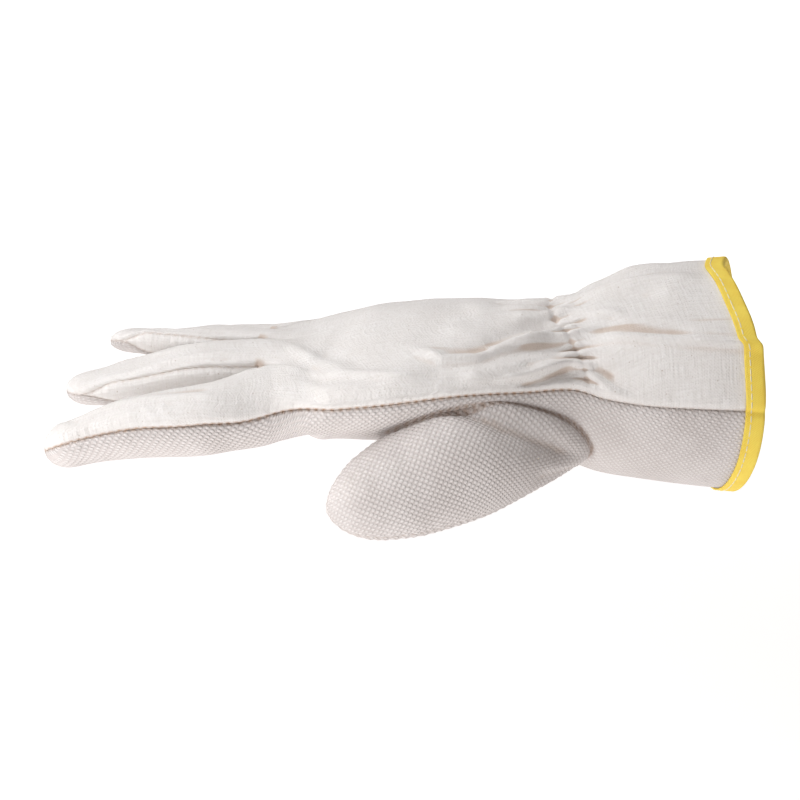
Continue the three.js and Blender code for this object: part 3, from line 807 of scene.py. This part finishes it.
canvas = canvas_finish()
back_patches = panel_patches(1, BACK_COLUMNS, BACK_ROWS, FINGER_ROWS)
back_panel = cloth_mesh("back_canvas", back_patches, CANVAS_WALL)
back_panel.data.materials.append(canvas)
apply_modifiers(back_panel)
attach(back_panel, "root")
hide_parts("back_panel")

# Side strips
# Three narrow pieces of the same canvas, one at each fork. Each comes down the side of one finger, turns at
# the fork and goes up the side of the next, and ends in a point short of the fingertip.
STRIP_BULGE = 0.1
STRIP_END_GAP = 0.01
STRIP_COLUMNS = 12
STRIP_ROWS = 60


def strip_patch(fork):
    """The strip at a fork as one grid: down the side of one finger, and up the side of the next."""
    t = np.linspace(0, STRIP_END - STRIP_END_GAP, STRIP_ROWS + 1)
    q = np.linspace(0, 1, STRIP_COLUMNS + 1)
    halves = []
    for finger, s, towards in ((fork - 1, 1, 1), (fork, 0, -1)):
        tt = t[::-1] if s else t
        edge = np.full(tt.shape, float(s))
        low, centre = finger_point(finger, tt, edge, -1)
        high, _ = finger_point(finger, tt, edge, 1)
        lateral = finger_section(finger, tt)["lateral"]
        width = np.linalg.norm(high - low, axis=-1)
        bulge = STRIP_BULGE * width * smooth(tt / ROOT_SETTLE) * towards
        points = mix(low[:, None], high[:, None], q[None, :, None])
        points = points + lateral[:, None] * (bulge[:, None] * np.sin(np.pi * q))[..., None]
        halves.append((points, np.broadcast_to(centre[:, None], points.shape), width))
    points, centre, width = (np.concatenate(pair) for pair in zip(*halves))
    seam = width[:, None] * np.minimum(q, 1 - q)
    u = width[:, None] * (q - 0.5)
    v = run_lengths(points, 0)[:, [STRIP_COLUMNS // 2]] + 0 * u
    return draw_in({"points": points, "centre": centre, "cloth": np.stack([u, v], -1), "seam": seam})


for fork, pair in enumerate(("index_middle", "middle_ring", "ring_little"), 1):
    patch = strip_patch(fork)
    strip = cloth_mesh(pair + "_strip_cloth", [patch], CANVAS_WALL)
    strip.data.materials.append(canvas)
    apply_modifiers(strip)
    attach(strip, "root")
    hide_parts(pair + "_side_strip")

# Thumb
# Two halves of bead-weave cloth sewn together along the upper and the lower edge of the thumb, and sewn into
# the hole of the palm. The camera sees the outer half; the other half faces the palm.
BEAD_WALL = 2.2

# Cross-sections of the thumb, by the share of its length from its root
THUMB = table(
    "at x y z tall thick",
    (0, 6, -15, -19, 7, 8),
    (0.16, -10, -26, -17, 15, 12),
    (0.4, -37, -41, -17.2, 22.3, 15),
    (0.68, -64, -50, -25.5, 20.3, 13),
    (0.88, -82, -53.5, -31.5, 15.4, 10.5),
    (1, -94.5, -55, -35, 12, 8),
)
THUMB_UP = np.array([0, 0.3, 0.95])
THUMB_ROUND = 0.17
THUMB_SQUARENESS = 2.2
THUMB_SEAM_TURN = math.radians(15)
THUMB_ROWS = 170
THUMB_COLUMNS = 72
THUMB_CROWDING = 1.2
THUMB_LOOK = 0.02
THUMB_LENGTH = 125
THUMB_GIRTH = 115
THUMB_EDGE_FADE = 5
THUMB_SAMPLES = 140
THUMB_SAMPLED = 0.98

# Folds of the thumb's outer half, along paths of the share of its length and the degrees round it
THUMB_CREASES = [
    crease(4.2, -3.2, (0.52, 346), (0.44, 330), (0.36, 297), (0.22, 264), (0.1, 225)),
    crease(5.0, 1.6, (0.44, 350), (0.33, 322), (0.22, 300), (0.14, 270)),
    crease(9.0, 1.2, (0.7, 315), (0.5, 288), (0.36, 260), (0.24, 235)),
    crease(3.0, -1.0, (0.3, 232), (0.2, 222), (0.1, 205)),
]

BEAD_PITCH = 2.4
BEAD_ROW = BEAD_PITCH / 2
BEAD_SQUASH = 1.25
BEAD_CORE = 0.25
BEAD_EDGE = 0.95
FUZZ_FINE = 1.4
BEAD_CLOUD = 0.04
# Colours of the gaps, darkened with painted shade, and of the knots' tops
BEAD_SHADED_GAPS = (0.47, 0.41, 0.39, 1), (0.55, 0.49, 0.47, 1)
BEAD_TOPS = (0.735, 0.70, 0.68, 1), (0.795, 0.765, 0.75, 1)
# The bead cloth's painted brown seam shadow, and how far from the seam it reaches
BEAD_SEAM_SHADOW = (0.36, 0.23, 0.15, 1)
BEAD_SEAM_REACH = 1.3
BEAD_RELIEF = 0.00027


def thumb_section(at):
    """The thumb's centre, the ways up and out, and its half sizes, at shares of its length."""
    here = read(THUMB, "at", at)
    ahead = place(read(THUMB, "at", np.clip(at + THUMB_LOOK, 0, 1)))
    behind = place(read(THUMB, "at", np.clip(at - THUMB_LOOK, 0, 1)))
    along = unit(ahead - behind)
    up = unit(THUMB_UP - along * (along @ THUMB_UP)[..., None])
    out = unit(np.cross(along, up))
    rounding = np.sqrt(1 - np.clip((at - 1 + THUMB_ROUND) / THUMB_ROUND, 0, 1) ** THUMB_SQUARENESS)
    return place(here), up, out, here["tall"] * rounding, here["thick"] * rounding


def off_thumb(points):
    """How far points are outside the thumb's tube, in millimetres."""
    centre, up, out, tall, thick = thumb_section(np.linspace(0, THUMB_SAMPLED, THUMB_SAMPLES))
    nearest = np.linalg.norm(points[:, None] - centre[None], axis=-1).argmin(1)
    away = points - centre[nearest]
    rise = (away * up[nearest]).sum(-1)
    side = (away * out[nearest]).sum(-1)
    share = np.hypot(rise / tall[nearest], side / thick[nearest])
    return np.hypot(rise, side) * (1 - 1 / np.maximum(share, 1e-6))


def off_hand(points):
    """How far points are outside the form of the glove's body, in millimetres."""
    section = read(HAND, "x", points[:, 0])
    side = points[:, 1] - section["y"]
    rise = points[:, 2] - section["z"]
    reach = np.where(rise > 0, section["back"], section["palm"])
    share = np.hypot(side / section["half"], rise / reach)
    return np.hypot(side, rise) * (1 - 1 / np.maximum(share, 1e-6))


def thumb_patch(half):
    """Half of the thumb as one grid: the outer half (1) or the one that faces the palm (0)."""
    at = 1 - (1 - np.linspace(0, 1, THUMB_ROWS + 1)) ** THUMB_CROWDING
    centre, up, out, tall, thick = (a[:, None] for a in thumb_section(at))
    angle = THUMB_SEAM_TURN + np.pi * (half + np.linspace(0, 1, THUMB_COLUMNS + 1))[None]
    points = centre + up * (tall * np.cos(angle))[..., None] + out * (thick * np.sin(angle))[..., None]
    across = run_lengths(points, 1)
    middle = THUMB_COLUMNS // 2
    v = run_lengths(points, 0)[:, [middle]] + 0 * across
    cloth = np.stack([across - across[:, [middle]], v], -1)
    seam = np.minimum(across, across[:, [-1]] - across)
    root = np.maximum(off_hand(points.reshape(-1, 3)).reshape(seam.shape), 0)
    line = np.where(root < seam, THUMB_SEAM_LINE, PLAIN_SEAM_LINE)
    seam = np.minimum(seam, root)
    centre = np.broadcast_to(centre, points.shape)
    if half == 1:
        scale = (THUMB_LENGTH, THUMB_GIRTH / 360)
        raised = crease_lift(THUMB_CREASES, scale, at[:, None], np.degrees(angle))
        away = smooth(np.minimum(across, across[:, [-1]] - across) / THUMB_EDGE_FADE)
        points = points + unit(points - centre) * (raised * away)[..., None]
    return draw_in({"points": points, "centre": centre, "cloth": cloth, "seam": seam, "line": line})


def bead_finish():
    """Cloth woven with a soft raised knot at every crossing, in staggered rows, with painted shade darkening
    the gaps between.
    """
    made, shade, shader = new_finish("bead_cloth", 0.95)
    across, along, where = cloth_directions(shade)
    stagger = ((across / BEAD_ROW).floor() * 0.5).fraction()
    a = ((across / BEAD_ROW).fraction() - 0.5) * BEAD_ROW
    b = ((along / BEAD_PITCH + stagger).fraction() - 0.5) * BEAD_PITCH
    far = (a * a * BEAD_SQUASH + b * b) ** 0.5
    bead = 1 - far.step(BEAD_CORE, BEAD_EDGE)
    fuzz = shade.noise(where, FUZZ_FINE, 3.0, 0.65)
    cloud = shade.noise(where, BEAD_CLOUD, 3.0, 0.6)
    # Painted shade: the gaps between the knots are darker than the knots' tops.
    gap = cloud.step(0.3, 0.7).blend(*BEAD_SHADED_GAPS)
    top = cloud.step(0.3, 0.7).blend(*BEAD_TOPS)
    mask = (bead * 0.44 + (fuzz - 0.5) * 0.5 + 0.34).held()
    pile = mask.blend(gap, top)
    colour = with_seam_and_hollow_shade(shade, along, pile, BEAD_SEAM_SHADOW, BEAD_SEAM_REACH)
    finish_with(shade, shader, colour, bead + fuzz * 0.4, BEAD_RELIEF)
    shader.inputs["Sheen Weight"].default_value = SHEEN
    return made


bead_cloth = bead_finish()
for half, name in ((1, "thumb_outer"), (0, "thumb_inner")):
    patch = thumb_patch(half)
    thumb_half = cloth_mesh(name + "_cloth", [patch], BEAD_WALL, lambda p: off_hand(p) > -BEAD_WALL)
    thumb_half.data.materials.append(bead_cloth)
    apply_modifiers(thumb_half)
    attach(thumb_half, "root")
    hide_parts(name)

# Palm panel
# One piece of bead-weave cloth: the palm, the fronts of the fingers and the palm half of the cuff, with a
# hole that the thumb is sewn into.
PALM_COLUMNS = 38
PALM_ROWS = 200
HOLE_OVERLAP = 1.5

palm_patches = panel_patches(-1, PALM_COLUMNS, PALM_ROWS, FINGER_ROWS)
palm_hand = palm_patches[0]
hole = np.maximum(off_thumb(palm_hand["points"].reshape(-1, 3)).reshape(palm_hand["seam"].shape), 0)
hole_dip = SEAM_DIP * bump(hole, SEAM_WIDTH) * (1 - bump(palm_hand["seam"], SEAM_WIDTH))
palm_inward = unit(palm_hand["centre"] - palm_hand["points"])
palm_hand["points"] = palm_hand["points"] + palm_inward * hole_dip[..., None]
palm_hand["line"] = np.where(hole < palm_hand["seam"], THUMB_SEAM_LINE, palm_hand["line"])
palm_hand["seam"] = np.minimum(palm_hand["seam"], hole)
palm_panel = cloth_mesh("palm_bead_cloth", palm_patches, BEAD_WALL, lambda p: off_thumb(p) > -HOLE_OVERLAP)
palm_panel.data.materials.append(bead_cloth)
apply_modifiers(palm_panel)
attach(palm_panel, "root")
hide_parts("palm_panel")

# Cuff binding
# Yellow woven cotton tape, folded over the hem all round and held by one line of white lockstitch that goes
# through both of its sides. Its ring of points starts at the far side seam.
TAPE_REACH = 6.4
TAPE_WALL = 0.7
TAPE_GAP = 0.3
THREAD_LINE = 4.3
THREAD_HALF = 0.26
THREAD_LENGTH = 2.7
THREAD_LOOK = 3
THREAD_SIDES = 7
THREAD_RINGS = 7
THREAD_WHITE = (0.84, 0.76, 0.52, 1)
TAPE_STEPS = 520
TAPE_TURN_STEPS = 9
TAPE_TURN_FROM = 0.6
TAPE_NOSE_FROM = 0.2
TAPE_ROUNDS = 30
TAPE_ROW = 6
TWILL_PITCH = 0.7
TWILL_SLANT = 0.6
TAPE_CLOUD = 0.12
TAPE_YELLOWS = (0.96, 0.69, 0.09, 1), (1.0, 0.78, 0.12, 1)
TAPE_RIB = (0.84, 0.57, 0.05, 1)
TAPE_RELIEF = 0.00012


def hem_ring():
    """Points of the outer cloth round the hem, with the ways past the hem and out, and the cloth's thickness.

    The last value is how far each point is along the tape.
    """
    found = []
    for side, patches, wall in ((1, back_patches, CANVAS_WALL), (-1, palm_patches, BEAD_WALL)):
        points = patches[0]["points"]
        normal = grid_normals(points[:3])[0]
        normal = normal * np.sign((normal * (points[0] - patches[0]["centre"][0])).sum(-1, keepdims=True))
        away = unit(points[0] - points[TAPE_ROW])
        rows = np.column_stack([points[0], away, normal, np.full(len(normal), wall)])
        found.append(rows if side > 0 else rows[::-1][1:-1])
    ring = np.roll(np.concatenate(found), -len(found[0]), axis=0)
    closed = np.concatenate([ring, ring[:1]])
    length = np.concatenate([[0], np.cumsum(np.linalg.norm(np.diff(closed[:, :3], axis=0), axis=1))])
    even = np.linspace(0, length[-1], TAPE_STEPS, endpoint=False)
    columns = [np.interp(even, length, closed[:, k]) for k in range(closed.shape[1])]
    rounds = np.stack(columns, -1)
    for _ in range(TAPE_ROUNDS):
        own = rounds[:, 3:]
        rounds[:, 3:] = (np.roll(own, 1, 0) + 2 * own + np.roll(own, -1, 0)) / 4
    return rounds[:, :3], unit(rounds[:, 3:6]), unit(rounds[:, 6:9]), rounds[:, 9], even


def tape_profile(wall):
    """The tape's outer line over the hem: up the outer side, round the edge, and down the inner side."""
    reach = np.linspace(-TAPE_REACH, -TAPE_TURN_FROM, TAPE_TURN_STEPS)
    turn = np.linspace(np.pi / 2, -np.pi / 2, TAPE_TURN_STEPS)
    half = (wall + 2 * TAPE_GAP) / 2 + TAPE_WALL
    middle = -wall / 2
    depth = TAPE_GAP + TAPE_WALL + TAPE_NOSE_FROM
    nose = [(-TAPE_NOSE_FROM + depth * math.cos(a), middle + half * math.sin(a)) for a in turn]
    return [(x, middle + half) for x in reach] + nose + [(x, middle - half) for x in reach[::-1]]


def tape_grid():
    """The tape as one grid: its profile, carried round the hem."""
    points, away, out, wall, length = hem_ring()
    rings = []
    for spot, past, facing, thick in zip(points, away, out, wall):
        rings.append([spot + past * a + facing * b for a, b in tape_profile(thick)])
    grid = np.array(rings)
    grid = np.concatenate([grid, grid[:1]])
    centre = np.broadcast_to((points - THREAD_LINE * away).mean(0), grid.shape)
    along = np.append(length, length[-1] + length[1])
    across = run_lengths(grid, 1)
    cloth = np.stack([across, np.broadcast_to(along[:, None], across.shape)], -1)
    plain = np.zeros(across.shape)
    return {"points": grid, "centre": centre, "cloth": cloth, "seam": plain, "line": plain, "hollow": plain}


def tape_finish():
    """Dense yellow twill, a little deeper in colour along its slanted ribs."""
    made, shade, shader = new_finish("binding_tape", 0.72)
    across, along, where = cloth_directions(shade)
    rib = ((along + across * TWILL_SLANT) * (2 * math.pi / TWILL_PITCH)).sine()
    cloud = shade.noise(where, TAPE_CLOUD, 3.0, 0.6)
    base = cloud.step(0.3, 0.7).blend(*TAPE_YELLOWS)
    colour = ((rib * 0.5 + 0.5) * 0.25).blend(base, TAPE_RIB)
    finish_with(shade, shader, colour, rib * 0.5 + cloud, TAPE_RELIEF)
    return made


tape = tape_finish()
binding = cloth_mesh("binding_tape_cloth", [tape_grid()], TAPE_WALL)
binding.data.materials.append(tape)
apply_modifiers(binding)
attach(binding, "root")
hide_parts("cuff_binding")


def thread_mesh(name):
    """The lockstitches of the binding: a short rounded length of thread at every stitch, on both sides."""
    points, away, out, wall, length = hem_ring()
    count = round(length[-1] / STITCH_PITCH)
    vertices, faces = [], []
    for k in range(count):
        at = k * len(points) // count
        along = unit(points[(at + THREAD_LOOK) % len(points)] - points[at - THREAD_LOOK])
        for side in (1, -1):
            middle = -wall[at] / 2
            height = middle + side * (wall[at] / 2 + TAPE_GAP + TAPE_WALL)
            centre = points[at] - away[at] * THREAD_LINE + out[at] * height
            start = len(vertices)
            for ring in range(THREAD_RINGS):
                turn = np.pi * ring / (THREAD_RINGS - 1)
                spread = THREAD_HALF * math.sin(turn) ** 0.5
                for step in range(THREAD_SIDES):
                    angle = 2 * np.pi * step / THREAD_SIDES
                    offset = away[at] * math.cos(angle) + out[at] * math.sin(angle)
                    vertices.append(centre - along * math.cos(turn) * THREAD_LENGTH / 2 + offset * spread)
                    if ring:
                        here = start + ring * THREAD_SIDES
                        before = here - THREAD_SIDES
                        after = (step + 1) % THREAD_SIDES
                        faces.append((before + step, before + after, here + after, here + step))
    mesh = bpy.data.meshes.new(name)
    mesh.from_pydata((np.array(vertices) * MM).tolist(), [], faces)
    mesh.polygons.foreach_set("use_smooth", [True] * len(mesh.polygons))
    return set_out(name, mesh)


thread_finish, _, thread_shader = new_finish("white_thread", 0.7)
thread_shader.inputs["Base Color"].default_value = THREAD_WHITE
thread = thread_mesh("binding_stitches")
thread.data.materials.append(thread_finish)
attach(thread, "root")

# Floor and light
# A plain white floor lies far below the glove, and glows more the further off it is, so that it shows white
# behind the glove. A broad soft light stands above the fingers. Two weak ones in front light the index finger
# and the thumb's tip, so the cuff stays in a soft shade.
FLOOR_DROP = 0.35
FLOOR_REACH = 6
GLOW_FROM = 0.5
GLOW_TO = 1.5
GLOW_STRENGTH = 1.0
NEAR_GLOW = (0.535, 0.515, 0.505, 1)
FAR_GLOW = (1, 1, 1, 1)
FLOOR_WHITE = (0.9, 0.9, 0.9, 1)
SKY_TINT = (1, 0.92, 0.89, 1)
SKY_STRENGTH = 0.2

corners = [(-1, -1), (1, -1), (1, 1), (-1, 1)]
floor_mesh = bpy.data.meshes.new("floor")
floor_places = [(a * FLOOR_REACH, b * FLOOR_REACH, -FLOOR_DROP) for a, b in corners]
floor_mesh.from_pydata(floor_places, [], [range(4)])
floor = set_out("floor", floor_mesh)
floor_finish, floor_shade, floor_shader = new_finish("floor", 0.9)
floor_place = floor_shade.node("ShaderNodeTexCoord", {}, {}, "Object")
floor_away = floor_shade.node("ShaderNodeVectorMath", {"operation": "LENGTH"}, {0: floor_place}, "Value")
floor_glow = floor_away.step(GLOW_FROM, GLOW_TO).blend(NEAR_GLOW, FAR_GLOW)
floor_shade.tree.links.new(floor_glow.socket, floor_shader.inputs["Emission Color"])
floor_shader.inputs["Base Color"].default_value = FLOOR_WHITE
floor_shader.inputs["Emission Strength"].default_value = GLOW_STRENGTH
floor_mesh.materials.append(floor_finish)

for name, spot, aim, size, spread, power, tint in (
    ("main_light", (-0.5, 0.05, 0.9), (-0.12, 0, 0), 0.6, 180, 8.7, (0.985, 0.99, 1)),
    ("side_light", (-0.4, -0.42, 0.06), (-0.16, -0.04, -0.01), 0.25, 60, 0.17, (0.99, 0.99, 1)),
    ("low_light", (-0.3, -0.26, -0.2), (-0.12, -0.05, -0.03), 0.2, 60, 0.05, (1, 0.985, 0.98)),
):
    lamp = bpy.data.lights.new(name, "AREA")
    lamp.size = size
    lamp.spread = math.radians(spread)
    lamp.energy = power
    lamp.color = tint
    light = set_out(name, lamp)
    light.location = spot
    light.rotation_euler = (Vector(aim) - Vector(spot)).to_track_quat("-Z", "Y").to_euler()

world = bpy.data.worlds.new("studio")
world.use_nodes = True
world.node_tree.nodes["Background"].inputs["Color"].default_value = SKY_TINT
world.node_tree.nodes["Background"].inputs["Strength"].default_value = SKY_STRENGTH
bpy.context.scene.world = world
bpy.context.scene.view_settings.view_transform = "Standard"
